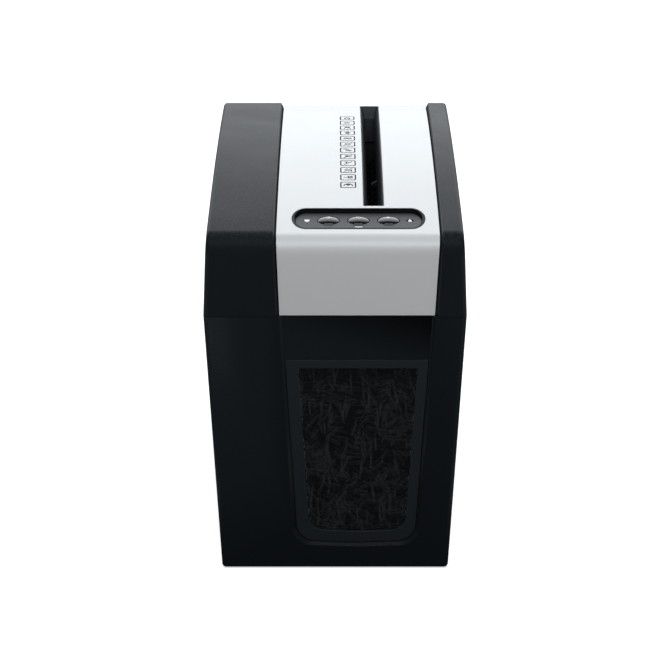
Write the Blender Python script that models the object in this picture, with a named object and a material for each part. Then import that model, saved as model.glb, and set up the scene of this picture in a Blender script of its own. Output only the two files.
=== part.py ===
"""Slim home paper shredder: a lift-off shredding head standing on an open-topped waste bin.

Metres, +X to the right, +Y to the back, +Z up. The origin is the middle of the footprint on the floor.
"""
import math

import bmesh
import bpy
from mathutils import Matrix, Vector

# Outer body: both halves taper away from the seam between head and bin.
SEAM_Z = 0.188
TOUCH_GAP = 0.0003
BIN_BASE_Z = 0.001
SEAM_HALF = Vector((0.0850, 0.14765))
BASE_HALF = Vector((0.0763, 0.1390))
HEAD_TOP_Z = 0.241
HEAD_TOP_HALF = Vector((0.0827, 0.1445))
BODY_CORNER_R = 0.003
WALL = 0.0025
CREST_Z = 0.2492
DOME_R = 1.291
EDGE_FILLET_R = 0.012
BACK_FILLET_R = 0.006

# Silver cover and the recess that it lies in, which runs on down the front of the bin.
COVER_SINK = 0.002
COVER_THICK = 0.002
COVER_LEFT = (-0.0384, -0.0364)
COVER_RIGHT = (0.0668, 0.0648)
RECESS_LEFT = (-0.0362, -0.0276)
RECESS_RIGHT = (0.0646, 0.0557)
RECESS_BOTTOM_Z = 0.0195

# Window plate in the bin and the see-through opening behind it.
PLATE_TOP_Z = 0.157
PLATE_THICK = 0.0014
PLATE_POCKET = 0.0012
VIEW_TOP_Z = 0.150
VIEW_BOTTOM_Z = 0.0285

# Feed slot over the nip of the two cutters.
SLOT_X = 0.0253
SLOT_FRONT_Y = -0.0915
SLOT_BACK_Y = 0.1370
SLOT_MOUTH = 0.0135
THROAT = 0.0070
LINER_WALL = 0.0014
LINER_BOTTOM_Z = 0.2135

# Shredding block.
CUTTER_GAP = 0.030
CUTTER_Z = 0.190
DISC_R = 0.0165
DISC_CORE_R = 0.0070
DISC_COUNT = 18
DISC_PITCH = 0.012
DISC_THICK = 0.0054
DISC_FIRST_Y = -0.0800
SHAFT_R = 0.0045
PLATE_FRONT_Y = -0.0895
PLATE_REAR_Y = 0.1335
FRAME_THICK = 0.002

# Gear train: pitch data of each mesh as (module, teeth, teeth) and the direction to the next gear.
SYNC_MESH = (0.0015, 20, 20)
OUTPUT_MESH = (0.0015, 32, 12)
SECOND_MESH = (0.00125, 36, 12)
MOTOR_MESH = (0.0010, 46, 10)
OUTPUT_DIRECTION = math.radians(172)
SECOND_DIRECTION = math.radians(177)
MOTOR_DIRECTION = math.radians(172)
LAYER_SYNC = (-0.0970, -0.0910)
LAYER_OUTPUT = (-0.1045, -0.0985)
LAYER_SECOND = (-0.1115, -0.1060)
LAYER_MOTOR = (-0.1185, -0.1130)

# Control island in the silver cover.
PANEL_CENTRE = Vector((0.0152, -0.1110))
PANEL_HALF = Vector((0.04325, 0.0160))
PANEL_END = 0.0095
BUTTON_R = 0.0070
BUTTON_PITCH = 0.0195
BUTTON_RISE = 0.0020
FLOOR_TILT = math.radians(-4.5)

# Screws that hold the lower housing, as (x, y, top of the boss), and the mains cord's way out.
SCREW_SPOTS = ((-0.0600, -0.1345, 0.2400), (0.0600, -0.1345, 0.2350),
               (0.0755, -0.0200, 0.2475), (0.0755, 0.1000, 0.2440))
CORD_X = -0.055
CORD_Z = 0.214


def clear_scene():
    for item in list(bpy.data.objects):
        bpy.data.objects.remove(item, do_unlink=True)


def finish(name, color, roughness, metallic=0.0, alpha=1.0):
    material = bpy.data.materials.new(name)
    material.use_nodes = True
    shader = material.node_tree.nodes["Principled BSDF"]
    shader.inputs["Base Color"].default_value = (*color, 1.0)
    shader.inputs["Roughness"].default_value = roughness
    shader.inputs["Metallic"].default_value = metallic
    shader.inputs["Alpha"].default_value = alpha
    return material


def solid(name, rings, material=None, closed=False):
    """Skin equal rings of points into one body; closed joins the last ring to the first."""
    mesh = bmesh.new()
    rows = [[mesh.verts.new(point) for point in ring] for ring in rings]
    count = len(rows[0])
    pairs = list(zip(rows, rows[1:] + rows[:1])) if closed else list(zip(rows, rows[1:]))
    for lower, upper in pairs:
        for i in range(count):
            j = (i + 1) % count
            mesh.faces.new((lower[i], lower[j], upper[j], upper[i]))
    if not closed:
        mesh.faces.new(rows[0][::-1])
        mesh.faces.new(rows[-1])
    bmesh.ops.triangulate(mesh, faces=[face for face in mesh.faces if len(face.verts) == 4])
    bmesh.ops.recalc_face_normals(mesh, faces=mesh.faces)
    if mesh.calc_volume(signed=True) < 0:
        bmesh.ops.reverse_faces(mesh, faces=mesh.faces)
    data = bpy.data.meshes.new(name)
    mesh.to_mesh(data)
    mesh.free()
    piece = bpy.data.objects.new(name, data)
    bpy.context.scene.collection.objects.link(piece)
    if material:
        piece.data.materials.append(material)
    return piece


def combine(piece, tool, operation):
    """Apply one Boolean and drop the tool."""
    modifier = piece.modifiers.new("combine", "BOOLEAN")
    modifier.operation = operation
    modifier.solver = "EXACT"
    modifier.object = tool
    bpy.context.view_layer.update()
    graph = bpy.context.evaluated_depsgraph_get()
    result = bpy.data.meshes.new_from_object(piece.evaluated_get(graph))
    piece.modifiers.remove(modifier)
    piece.data = result
    bpy.data.objects.remove(tool, do_unlink=True)
    return split_faces(piece)


def split_faces(piece, merge_angle=0.0008):
    """Merge faces in one plane, then cut all into triangles; a merge that would tear is skipped."""
    for angle in sorted({merge_angle, 0.0}, reverse=True):
        mesh = bmesh.new()
        mesh.from_mesh(piece.data)
        if angle:
            bmesh.ops.dissolve_limit(mesh, angle_limit=angle, verts=mesh.verts, edges=mesh.edges)
        bmesh.ops.triangulate(mesh, faces=mesh.faces, ngon_method="EAR_CLIP")
        whole = all(len(edge.link_faces) == 2 for edge in mesh.edges)
        if whole or not angle:
            mesh.to_mesh(piece.data)
        mesh.free()
        if whole:
            break
    return piece


def cut(piece, *tools):
    for tool in tools:
        combine(piece, tool, "DIFFERENCE")
    return piece


def join(piece, *tools):
    for tool in tools:
        combine(piece, tool, "UNION")
    return piece


def rounded(corners, steps=4):
    """Turn (u, v, radius) corners into an outline with its corners as arcs."""
    outline = []
    for i, (u, v, radius) in enumerate(corners):
        here = Vector((u, v))
        before = (Vector(corners[i - 1][:2]) - here).normalized()
        after = (Vector(corners[(i + 1) % len(corners)][:2]) - here).normalized()
        if radius == 0:
            outline.append((u, v))
            continue
        half = before.angle(after) / 2
        centre = here + (before + after).normalized() * (radius / math.sin(half))
        start = here + before * (radius / math.tan(half)) - centre
        sweep = math.pi - 2 * half
        side = 1 if before.x * after.y - before.y * after.x < 0 else -1
        for k in range(steps + 1):
            turn = side * sweep * k / steps
            c, s = math.cos(turn), math.sin(turn)
            outline.append((centre.x + start.x * c - start.y * s, centre.y + start.x * s + start.y * c))
    return outline


def rectangle(half_u, half_v, radius, steps=4, centre=(0, 0)):
    cu, cv = centre
    corners = [(cu - half_u, cv - half_v, radius), (cu + half_u, cv - half_v, radius)]
    corners += [(cu + half_u, cv + half_v, radius), (cu - half_u, cv + half_v, radius)]
    return rounded(corners, steps)


def prism(name, outline, axis, low, high, material=None):
    """Extrude an outline along X (outline in Y, Z), Y (outline in X, Z) or Z (outline in X, Y)."""
    order = {"X": (2, 0, 1), "Y": (0, 2, 1), "Z": (0, 1, 2)}[axis]
    rings = [[tuple((u, v, w)[k] for k in order) for u, v in outline] for w in (low, high)]
    return solid(name, rings, material)


def box(name, low, high, material=None):
    return prism(name, [(low[0], low[1]), (high[0], low[1]), (high[0], high[1]), (low[0], high[1])],
                 "Z", low[2], high[2], material)


def turned(name, profile, centre, axis="Y", steps=16, material=None):
    """Turn (distance along axis, radius) pairs about an axis through centre."""
    rings = []
    for along, radius in profile:
        ring = []
        for k in range(steps):
            angle = 2 * math.pi * k / steps
            u, v = radius * math.cos(angle), radius * math.sin(angle)
            offset = (u, along, v) if axis == "Y" else (u, v, along)
            ring.append(Vector(centre) + Vector(offset))
        rings.append(ring)
    return solid(name, rings, material)


def set_origin(piece, point):
    piece.data.transform(Matrix.Translation(-Vector(point)))
    piece.location = point
    return piece


def put_in_frame(piece, frame):
    """Lean a piece; its flat ends are cut into triangles, because leaning rounds them out of plane."""
    piece.data.transform(frame)
    return split_faces(piece, 0.0)


def body_half(z):
    """Half width and half depth of the outer body at height z."""
    if z <= SEAM_Z:
        return BASE_HALF.lerp(SEAM_HALF, z / SEAM_Z)
    return SEAM_HALF.lerp(HEAD_TOP_HALF, (z - SEAM_Z) / (HEAD_TOP_Z - SEAM_Z))


def body_ring(z, inset, radius=BODY_CORNER_R):
    half = body_half(z)
    return [(x, y, z) for x, y in rectangle(half.x - inset, half.y - inset, max(radius - inset, 0.0008), 3)]


def dome(y, sink=0.0):
    return CREST_Z - DOME_R + math.sqrt(DOME_R ** 2 - y ** 2) - sink


def head_profile(sink, steps=6):
    """Side outline of the head: two leaning ends, rounded shoulders and the domed top."""
    slope = (SEAM_HALF.y - HEAD_TOP_HALF.y) / (HEAD_TOP_Z - SEAM_Z)
    foot = SEAM_HALF.y + slope * 0.02 - sink
    shoulder = HEAD_TOP_HALF.y - sink
    crown = [(y / 1000, dome(y / 1000, sink), 0) for y in range(-105, 106, 42)]
    low = SEAM_Z - 0.02
    corners = [(-foot, low, 0), (-shoulder, dome(shoulder, sink), EDGE_FILLET_R - sink)]
    corners += crown
    corners += [(shoulder, dome(shoulder, sink), max(BACK_FILLET_R - sink, 0.0006)), (foot, low, 0)]
    return rounded(corners, steps)


def at_height(a, b, z):
    """Point at height z on the line through two (y, z) points."""
    return (a[0] + (b[0] - a[0]) * (z - a[1]) / (b[1] - a[1]), z)


def cover_strip(name, top_sink, under_sink, side_gap, low, back_low, material=None):
    """Solid between two depths below the head's surface, up the front, over the top and down the back."""
    top, under = head_profile(top_sink), head_profile(under_sink)
    for line in (top, under):
        line[0] = at_height(line[0], line[1], low)
        line[-1] = at_height(line[-1], line[-2], back_low)
    rings = []
    for i, (near, far) in enumerate(zip(top, under)):
        front = i < len(top) / 2
        rise = min((near[1] - SEAM_Z) / (HEAD_TOP_Z - SEAM_Z), 1) if front else 1
        left = COVER_LEFT[1] + (COVER_LEFT[0] - COVER_LEFT[1]) * rise + side_gap
        right = COVER_RIGHT[1] + (COVER_RIGHT[0] - COVER_RIGHT[1]) * rise - side_gap
        rings.append([(left, *near), (right, *near), (right, *far), (left, *far)])
    return solid(name, rings, material)


def recess_outline(grow, top_z):
    """Outline, in X and Z, of the sunk field on the bin's front."""
    rise = top_z / SEAM_Z
    left_top = RECESS_LEFT[1] + (RECESS_LEFT[0] - RECESS_LEFT[1]) * rise - grow
    right_top = RECESS_RIGHT[1] + (RECESS_RIGHT[0] - RECESS_RIGHT[1]) * rise + grow
    low = RECESS_BOTTOM_Z - grow
    middle = (RECESS_LEFT[1] + RECESS_RIGHT[1]) / 2
    corners = [(left_top, top_z, 0), (RECESS_LEFT[1] - grow, low, 0.013), (middle, low - 0.0015, 0)]
    corners += [(RECESS_RIGHT[1] + grow, low, 0.013), (right_top, top_z, 0)]
    return rounded(corners, 4)


def bin_front(depth):
    """Y of a plane that lies depth behind the bin's leaning front, as a function of height."""
    return lambda z: -body_half(min(z, SEAM_Z)).y + depth


def front_block(name, outline, near, far, material=None):
    """Solid on an X, Z outline between two surfaces that lean with the bin's front."""
    return solid(name, [[(x, plane(z), z) for x, z in outline] for plane in (near, far)], material)


def make_bin(plastic, tint, soft, paper):
    inner_r = 0.0015
    rim = SEAM_Z - TOUCH_GAP / 2
    base = BIN_BASE_Z
    rings = [body_ring(base, 0.0018), body_ring(base + 0.0018, 0), body_ring(rim, 0)]
    shell = solid("bin_shell", rings, plastic)
    hollow_rings = [body_ring(base + WALL, WALL, inner_r), body_ring(rim + 0.002, WALL, inner_r)]
    hollow = solid("hollow", hollow_rings)
    sunk = COVER_SINK + PLATE_POCKET
    outside = bin_front(-0.02)
    cut(hollow, front_block("field", recess_outline(0.002, rim + 0.01), outside, bin_front(sunk + 0.002)))
    cut(shell, hollow)
    cut(shell, front_block("field", recess_outline(0, rim + 0.01), outside, bin_front(COVER_SINK)))
    cut(shell, front_block("pocket", recess_outline(-0.0012, PLATE_TOP_Z), outside, bin_front(sunk)))
    view = rounded([(-0.0241, VIEW_TOP_Z, 0.0015), (-0.0170, VIEW_BOTTOM_Z, 0.012),
                    (0.0148, VIEW_BOTTOM_Z - 0.001, 0), (0.0466, VIEW_BOTTOM_Z, 0.012),
                    (0.0538, VIEW_TOP_Z, 0.0015)], 4)
    cut(shell, front_block("view", view, outside, bin_front(0.02)))
    lug = box("lug", (0.0715, 0.045, 0.150), (0.0835, 0.055, 0.180))
    join(shell, lug)
    plate = recess_outline(-0.0015, PLATE_TOP_Z - TOUCH_GAP)
    face = sunk - TOUCH_GAP - PLATE_THICK
    front_block("bin_window", plate, bin_front(face), bin_front(sunk - TOUCH_GAP), tint)
    for side_x, side_name in ((-1, "left"), (1, "right")):
        for side_y, end_name in ((-1, "front"), (1, "rear")):
            spot = (side_x * 0.062, side_y * 0.120, 0)
            cut(shell, turned("socket", [(-0.01, 0.0063), (0.0025, 0.0063)], spot, "Z", 12))
            profile = [(0, 0.0050), (0.0004, 0.0057), (0.0022, 0.0057)]
            turned(f"foot_{end_name}_{side_name}", profile, spot, "Z", 12, soft)
    stations = [(-0.1325, -0.1382, 0.1480), (-0.1300, -0.1120, 0.1500), (-0.0950, -0.0900, 0.1300),
                (0.0000, 0.0000, 0.1180), (0.0800, 0.0800, 0.1230), (0.1345, 0.1400, 0.1200)]
    heap = []
    for low_y, high_y, top_z in stations:
        low_x = body_half(0).x - WALL - 0.0020
        high_x = body_half(top_z).x - WALL - 0.0020
        heap.append([(-low_x, low_y, 0.0042), (low_x, low_y, 0.0042),
                     (high_x, high_y, top_z), (-high_x, high_y, top_z)])
    solid("shredded_paper", heap, paper)


def make_housing(plastic):
    low = SEAM_Z + TOUCH_GAP / 2
    shell = solid("upper_housing", [body_ring(low, 0), body_ring(CREST_Z + 0.01, 0)], plastic)
    combine(shell, prism("side", head_profile(-0.00005), "X", -0.1, 0.1), "INTERSECT")
    hollow = solid("hollow", [body_ring(low - 0.005, WALL), body_ring(CREST_Z + 0.01, WALL)])
    combine(hollow, prism("side", head_profile(WALL), "X", -0.1, 0.1), "INTERSECT")
    deep = COVER_SINK + COVER_THICK + TOUCH_GAP
    cut(hollow, cover_strip("strip", -0.004, deep + 0.0022, -0.0022, low - 0.012, 0.2275))
    for x, y, top_z in SCREW_SPOTS:
        cut(hollow, turned("boss", [(0.1910, 0.0034), (top_z, 0.0034)], (x, y, 0), "Z", 10))
    cut(shell, hollow)
    cut(shell, cover_strip("strip", -0.004, deep, 0, low - 0.01, 0.2295))
    for x, y, top_z in SCREW_SPOTS:
        cut(shell, turned("pilot", [(0.1800, 0.0013), (0.2050, 0.0013)], (x, y, 0), "Z", 8))
    slot_y = (SLOT_FRONT_Y + SLOT_BACK_Y) / 2
    slot_half = (SLOT_BACK_Y - SLOT_FRONT_Y) / 2
    clear = LINER_WALL + TOUCH_GAP
    hole = rectangle(SLOT_MOUTH / 2 + clear, slot_half + clear, 0.0005, 1, (SLOT_X, slot_y))
    cut(shell, prism("slot", hole, "Z", 0.225, 0.260))
    cut(shell, put_in_frame(prism("island", island_outline(TOUCH_GAP), "Z", -0.012, 0.02), island_frame()))
    cord_hole = turned("cord_hole", [(0.130, 0.0050), (0.160, 0.0050)], (CORD_X, 0, CORD_Z), "Y", 12)
    cut(shell, cord_hole)
    return shell


def island_outline(grow, steps=5):
    """Control island in its own frame: straight front and back, half-ellipse ends."""
    half_x, half_y = PANEL_HALF.x + grow, PANEL_HALF.y + grow
    straight = PANEL_HALF.x - PANEL_END
    outline = []
    for side in (1, -1):
        for k in range(2 * steps + 1):
            angle = math.pi * (k / (2 * steps) - 0.5)
            x = straight + (half_x - straight) * math.cos(angle)
            outline.append((side * x, side * half_y * math.sin(angle)))
    return outline


def island_frame():
    """Frame on the silver face at the island's centre, its Z along the face's normal."""
    lean = math.asin(PANEL_CENTRE.y / DOME_R)
    spot = Vector((PANEL_CENTRE.x, PANEL_CENTRE.y, dome(PANEL_CENTRE.y, COVER_SINK)))
    return Matrix.Translation(spot) @ Matrix.Rotation(-lean, 4, "X")


def floor_frame():
    """Frame on the sunk floor of the island, tipped further towards the user."""
    return island_frame() @ Matrix.Translation((0, 0, -0.0020)) @ Matrix.Rotation(FLOOR_TILT, 4, "X")


def make_cover(silver):
    """Silver sheet cover with its feed slot and control island cut out."""
    low = SEAM_Z + TOUCH_GAP / 2 + 0.0003
    cover = cover_strip("top_cover", COVER_SINK, COVER_SINK + COVER_THICK, TOUCH_GAP, low, 0.2300, silver)
    slot_y = (SLOT_FRONT_Y + SLOT_BACK_Y) / 2
    slot_half = (SLOT_BACK_Y - SLOT_FRONT_Y) / 2
    clear = LINER_WALL + TOUCH_GAP
    hole = rectangle(SLOT_MOUTH / 2 + clear, slot_half + clear, 0.0005, 1, (SLOT_X, slot_y))
    cut(cover, prism("slot", hole, "Z", 0.225, 0.260))
    cut(cover, put_in_frame(prism("island", island_outline(TOUCH_GAP), "Z", -0.012, 0.02), island_frame()))
    return cover


def make_liner(plastic):
    """Funnel from the slot's mouth down to a narrow throat just over the cutters."""
    slot_y = (SLOT_FRONT_Y + SLOT_BACK_Y) / 2
    half_y = (SLOT_BACK_Y - SLOT_FRONT_Y) / 2

    def long_ring(half_x, end, z):
        rows = [slot_y - (half_y + end) + 2 * (half_y + end) * k / 6 for k in range(7)]
        heights = [dome(y, 0.0022) if z is None else z for y in rows]
        right = [(SLOT_X + half_x, y, height) for y, height in zip(rows, heights)]
        left = [(SLOT_X - half_x, y, height) for y, height in zip(rows, heights)]
        return right + left[::-1]

    mouth, throat = SLOT_MOUTH / 2, THROAT / 2
    outer_mouth, outer_throat = mouth + LINER_WALL, throat + LINER_WALL
    rings = [long_ring(outer_mouth, LINER_WALL, 0.2330), long_ring(outer_mouth, LINER_WALL, None),
             long_ring(mouth, 0, None), long_ring(throat, -0.0050, 0.2320),
             long_ring(throat, -0.0050, LINER_BOTTOM_Z),
             long_ring(outer_throat, -0.0036, LINER_BOTTOM_Z), long_ring(outer_throat, -0.0036, 0.2300)]
    liner = solid("slot_liner", rings, plastic, closed=True)
    cut(liner, box("window", (SLOT_X, 0.0040, 0.2160), (SLOT_X + 0.010, 0.0120, 0.2300)))
    return liner


def make_island(plastic, gloss, light, board_green):
    """Control island: sunk floor, three sprung buttons, two sign lenses, a light bar and their board."""
    frame, floor = island_frame(), floor_frame()
    tray = prism("control_bezel", island_outline(0), "Z", -0.0062, -0.0002, plastic)
    put_in_frame(tray, frame)
    cut(tray, put_in_frame(prism("floor", island_outline(-0.0010), "Z", 0.0, 0.010), floor))
    for side, name in ((-1, "reverse"), (0, "power"), (1, "forward")):
        x = side * BUTTON_PITCH
        hole_r = BUTTON_R + 0.0004
        hole = turned("hole", [(-0.02, hole_r), (0.02, hole_r)], (x, 0.0004, 0), "Z", 20)
        cut(tray, put_in_frame(hole, floor))
        profile = [(-0.0052, BUTTON_R), (0.0004, BUTTON_R), (0.0013, BUTTON_R * 0.86),
                   (BUTTON_RISE, BUTTON_R * 0.45)]
        cap = put_in_frame(turned(f"{name}_button", profile, (x, 0.0004, 0), "Z", 20, gloss), floor)
        set_origin(cap, floor @ Vector((x, 0.0004, 0)))
    for x, name in ((-0.0334, "bin_sign_lens"), (0.0334, "overheat_sign_lens")):
        hole = turned("hole", [(-0.02, 0.0025), (0.02, 0.0025)], (x, 0.0004, 0), "Z", 12)
        cut(tray, put_in_frame(hole, floor))
        profile = [(-0.0050, 0.0022), (-0.0001, 0.0022)]
        put_in_frame(turned(name, profile, (x, 0.0004, 0), "Z", 12, light), floor)
    cut(tray, put_in_frame(box("hole", (-0.0028, -0.0116, -0.02), (0.0028, -0.0096, 0.02)), floor))
    bar = box("power_light_bar", (-0.0025, -0.0113, -0.0050), (0.0025, -0.0099, -0.0001), light)
    put_in_frame(bar, floor)
    board = box("control_board", (-0.0400, -0.0125, -0.0120), (0.0400, 0.0125, -0.0104), board_green)
    put_in_frame(board, frame)


def gear_outline(module, teeth, phase, centre):
    """Stub-tooth involute outline in X, Z; a tooth points along phase."""
    pressure = math.radians(25)
    pitch_r = module * teeth / 2
    base_r = pitch_r * math.cos(pressure)
    tip_r, root_r = pitch_r + 0.8 * module, pitch_r - 1.1 * module

    def involute(angle):
        return math.tan(angle) - angle

    half_pitch = math.pi / (2 * teeth) - 0.07 * module / pitch_r
    root_half = half_pitch + involute(pressure)
    tip_half = root_half - involute(math.acos(base_r / tip_r))
    if root_r > base_r:
        root_half -= involute(math.acos(base_r / root_r))
    outline = []
    for k in range(teeth):
        middle = phase + 2 * math.pi * k / teeth
        corners = ((root_r, -root_half), (tip_r, -tip_half), (tip_r, tip_half), (root_r, root_half))
        for radius, offset in corners:
            angle = middle + offset
            outline.append((centre[0] + radius * math.cos(angle), centre[1] + radius * math.sin(angle)))
    return outline


def gear(name, module, teeth, phase, centre, layer, bore, material=None):
    piece = prism(name, gear_outline(module, teeth, phase, centre), "Y", *layer, material)
    if bore:
        profile = [(layer[0] - 0.01, bore), (layer[1] + 0.01, bore)]
        cut(piece, turned("bore", profile, (centre[0], 0, centre[1])))
    return piece


def step_from(centre, mesh, direction):
    reach = mesh[0] * (mesh[1] + mesh[2]) / 2
    return centre[0] + reach * math.cos(direction), centre[1] + reach * math.sin(direction)


def facing_gap(direction, teeth):
    """Phase that turns a gap between teeth back towards the neighbour that lies against direction."""
    return direction + math.pi + math.pi / teeth


def make_drive(steel, nylon, dark_metal):
    """Cutters, gears, motor and the frame that carries them."""
    right = (SLOT_X + CUTTER_GAP / 2, CUTTER_Z)
    left = (SLOT_X - CUTTER_GAP / 2, CUTTER_Z)
    second = step_from(right, OUTPUT_MESH, OUTPUT_DIRECTION)
    first = step_from(second, SECOND_MESH, SECOND_DIRECTION)
    motor = step_from(first, MOTOR_MESH, MOTOR_DIRECTION)
    for centre, name, offset, front in ((left, "cutter_left", 0.0, -0.0975),
                                        (right, "cutter_right", DISC_PITCH / 2, -0.1055)):
        step_y = PLATE_FRONT_Y + 0.0030
        profile = [(front, SHAFT_R), (step_y, SHAFT_R), (step_y, DISC_CORE_R)]
        for k in range(DISC_COUNT):
            y = DISC_FIRST_Y + offset + k * DISC_PITCH - DISC_THICK / 2
            profile += [(y, DISC_CORE_R), (y, DISC_R)]
            profile += [(y + DISC_THICK, DISC_R), (y + DISC_THICK, DISC_CORE_R)]
        end = PLATE_REAR_Y - 0.0007
        profile += [(end, DISC_CORE_R), (end, SHAFT_R), (PLATE_REAR_Y + FRAME_THICK + 0.002, SHAFT_R)]
        shaft = turned(name + "_shaft", profile, (centre[0], 0, centre[1]), "Y", 12, steel)
        set_origin(shaft, (centre[0], 0, centre[1]))
    bore = SHAFT_R + 0.0003
    phase = facing_gap(math.pi, 20)
    pieces = [(gear("sync_gear_right", 0.0015, 20, math.pi, right, LAYER_SYNC, bore, steel), right),
              (gear("sync_gear_left", 0.0015, 20, phase, left, LAYER_SYNC, bore, steel), left),
              (gear("output_gear", 0.0015, 32, OUTPUT_DIRECTION, right, LAYER_OUTPUT, bore, steel), right)]
    module, large, small = SECOND_MESH[0], SECOND_MESH[1], OUTPUT_MESH[2]
    second_gear = gear("second_gear", module, large, SECOND_DIRECTION, second, LAYER_SECOND, 0, nylon)
    pinion_layer = (LAYER_SECOND[1] - 0.001, LAYER_OUTPUT[1])
    phase = facing_gap(OUTPUT_DIRECTION, small)
    join(second_gear, gear("pinion", OUTPUT_MESH[0], small, phase, second, pinion_layer, 0))
    teeth = MOTOR_MESH[1]
    first_gear = gear("first_gear", MOTOR_MESH[0], teeth, MOTOR_DIRECTION, first, LAYER_MOTOR, 0, nylon)
    pinion_layer = (LAYER_MOTOR[1] - 0.001, LAYER_SECOND[1])
    small = SECOND_MESH[2]
    phase = facing_gap(SECOND_DIRECTION, small)
    join(first_gear, gear("pinion", module, small, phase, first, pinion_layer, 0))
    for piece, centre in ((second_gear, second), (first_gear, first)):
        bore_line = [(-0.125, 0.0024), (-0.095, 0.0024)]
        cut(piece, turned("bore", bore_line, (centre[0], 0, centre[1]), "Y", 12))
        pieces.append((piece, centre))
    motor_spot = (motor[0], 0, motor[1])
    profile = [(-0.1192, 0.0022), (-0.0800, 0.0022), (-0.0800, 0.0150), (-0.0200, 0.0150),
               (-0.0200, 0.0022), (0.0040, 0.0022)]
    rotor = turned("motor_rotor", profile, motor_spot, "Y", 14, steel)
    module, small = MOTOR_MESH[0], MOTOR_MESH[2]
    phase = facing_gap(MOTOR_DIRECTION, small)
    pinion = gear("motor_pinion", module, small, phase, motor, LAYER_MOTOR, 0.0026, steel)
    pieces += [(pinion, motor), (rotor, motor)]
    for piece, centre in pieces:
        set_origin(piece, (centre[0], 0, centre[1]))

    can = turned("motor_can", [(-0.0872, 0.0230), (0.0000, 0.0230)], motor_spot, "Y", 20, dark_metal)
    cut(can, turned("bell", [(-0.0840, 0.0200), (0.0010, 0.0200)], motor_spot, "Y", 20))
    cut(can, turned("nose", [(-0.0900, 0.0060), (-0.0800, 0.0060)], motor_spot, "Y", 12))
    profile = [(-0.0060, 0.0194), (-0.0010, 0.0194), (0.0060, 0.0194)]
    cap = turned("motor_end_cap", profile, motor_spot, "Y", 20, nylon)
    cut(cap, turned("seat", [(-0.0100, 0.0029), (0.0100, 0.0029)], motor_spot, "Y", 12))

    outline = rectangle(0.0680, 0.0233, 0.004, 2, (-0.0030, 0.1898))
    layer = (PLATE_FRONT_Y, PLATE_FRONT_Y + FRAME_THICK)
    front = prism("frame_plate_front", outline, "Y", *layer, steel)
    outline = rectangle(0.0395, 0.0235, 0.004, 2, (SLOT_X, 0.1900))
    layer = (PLATE_REAR_Y, PLATE_REAR_Y + FRAME_THICK)
    rear = prism("frame_plate_rear", outline, "Y", *layer, steel)
    cut(front, turned("nose", [(-0.0950, 0.0050), (-0.0800, 0.0050)], motor_spot, "Y", 12))
    for plate, end_name, near in ((front, "front", PLATE_FRONT_Y), (rear, "rear", PLATE_REAR_Y)):
        for centre, side_name in ((left, "left"), (right, "right")):
            spot = (centre[0], 0, centre[1])
            cut(plate, turned("hole", [(near - 0.005, 0.0068), (near + 0.007, 0.0068)], spot, "Y", 16))
            sleeve = [(near + 0.0001, 0.0064), (near + FRAME_THICK - 0.0001, 0.0064)]
            bush = turned(f"bushing_{end_name}_{side_name}", sleeve, spot, "Y", 16, nylon)
            cut(bush, turned("bore", [(near - 0.005, bore), (near + 0.007, bore)], spot, "Y", 16))
    for x, z, name in ((-0.0105, 0.1725, "left"), (0.0600, 0.1725, "right"),
                       (-0.0105, 0.2065, "upper_left"), (0.0600, 0.2065, "upper_right")):
        profile = [(PLATE_FRONT_Y + FRAME_THICK + 0.0003, 0.0022), (PLATE_REAR_Y - 0.0003, 0.0022)]
        turned(f"tie_rod_{name}", profile, (x, 0, z), "Y", 8, steel)
    for side, centre, offset, name in ((-1, left, 0.0, "left"), (1, right, DISC_PITCH / 2, "right")):
        back_x = centre[0] + side * 0.0215
        spine_x = centre[0] + side * 0.0180
        tip_x = centre[0] + side * 0.0085
        comb = [(back_x, -0.0855), (back_x, 0.1320), (spine_x, 0.1320)]
        teeth = []
        for k in range(DISC_COUNT - 1):
            middle = DISC_FIRST_Y + offset + (k + 0.5) * DISC_PITCH
            half = (DISC_PITCH - DISC_THICK) / 2 - 0.0008
            teeth += [(spine_x, middle - half), (tip_x, middle - half),
                      (tip_x, middle + half), (spine_x, middle + half)]
        comb += teeth[::-1] + [(spine_x, -0.0855)]
        prism(f"stripper_comb_{name}", comb, "Z", 0.1850, 0.1950, nylon)

    holder = box("gear_carrier", (-0.0400, -0.1235, 0.1660), (0.0640, -0.1205, 0.2200), nylon)
    for centre in (first, second):
        profile = [(-0.1215, 0.0020), (-0.1000, 0.0020)]
        join(holder, turned("pin", profile, (centre[0], 0, centre[1]), "Y", 12))


def make_lower_housing(plastic, steel):
    """Tray that closes the head from below and hangs into the bin, open under the cutters."""
    def ring(left, right, front, back, z):
        return [(left, front, z), (right, front, z), (right, back, z), (left, back, z)]

    rings = [ring(-0.0745, 0.0685, -0.1275, 0.1400, 0.1605),
             ring(-0.0770, 0.0700, -0.1295, 0.1415, 0.1886),
             ring(-0.0812, 0.0812, -0.1398, 0.1440, 0.1886),
             ring(-0.0812, 0.0812, -0.1398, 0.1440, 0.1906)]
    tray = solid("lower_housing", rings, plastic)
    inside = [ring(-0.0728, 0.0666, -0.1255, 0.1380, 0.1625),
              ring(-0.0752, 0.0682, -0.1276, 0.1396, 0.2000)]
    cut(tray, solid("hollow", inside))
    cut(tray, turned("hole", [(0.1800, 0.0018), (0.2000, 0.0018)], (0.0750, 0.0500, 0), "Z", 10))
    cut(tray, box("chute", (-0.0080, -0.0840, 0.1500), (0.0590, 0.1300, 0.1700)))
    for i, (x, y, top_z) in enumerate(SCREW_SPOTS):
        cut(tray, turned("hole", [(0.1800, 0.0019), (0.2000, 0.0019)], (x, y, 0), "Z", 8))
        profile = [(0.1862, 0.0027), (0.1882, 0.0027), (0.1882, 0.0011), (0.2000, 0.0011)]
        turned(f"housing_screw_{i + 1}", profile, (x, y, 0), "Z", 8, steel)
    return tray


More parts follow.
